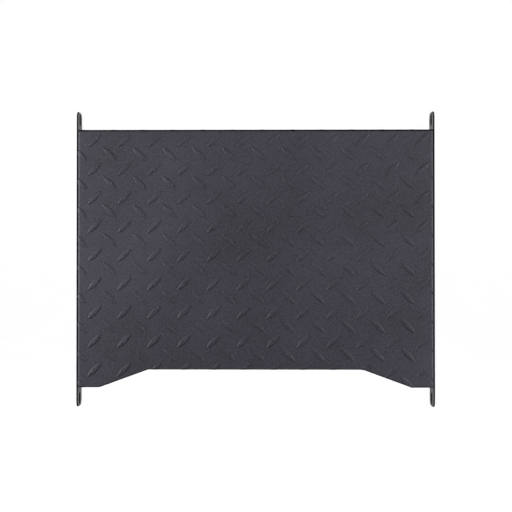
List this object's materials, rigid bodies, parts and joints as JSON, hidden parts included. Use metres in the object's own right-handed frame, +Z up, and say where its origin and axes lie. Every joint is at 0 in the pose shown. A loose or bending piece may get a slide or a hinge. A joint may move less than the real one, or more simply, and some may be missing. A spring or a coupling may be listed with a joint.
{
  "type": "fireplace screen",
  "caption": "Flat tread-plate fireplace screen with a notched lower edge, hung between two upright flat bars with a slotted eye in each round-cornered end.",
  "frame": {"origin": "bottom centre of the whole screen: midway between the bars, halfway from the crowns of the tears to the backs of the bars, and at the height of the bars' lower tips", "axes": "+X across the screen, +Y from the tread face to the back, +Z up; the tears stand towards -Y"},
  "size_m": [0.5054, 0.0354, 0.414],
  "materials": {
    "panel_coat": "satin powder coat, fine texture",
    "bar_coat": "satin powder coat, fine texture",
    "screw_steel": "blackened",
    "washer_steel": "blackened",
    "nut_steel": "blackened"
  },
  "bodies": {
    "root": {"tread_panel": "panel_coat", "left_side_bar": "bar_coat", "right_side_bar": "bar_coat", "left_screws": "screw_steel", "left_washers": "washer_steel", "left_nuts": "nut_steel", "right_screws": "screw_steel", "right_washers": "washer_steel", "right_nuts": "nut_steel"}
  },
  "joints": []
}
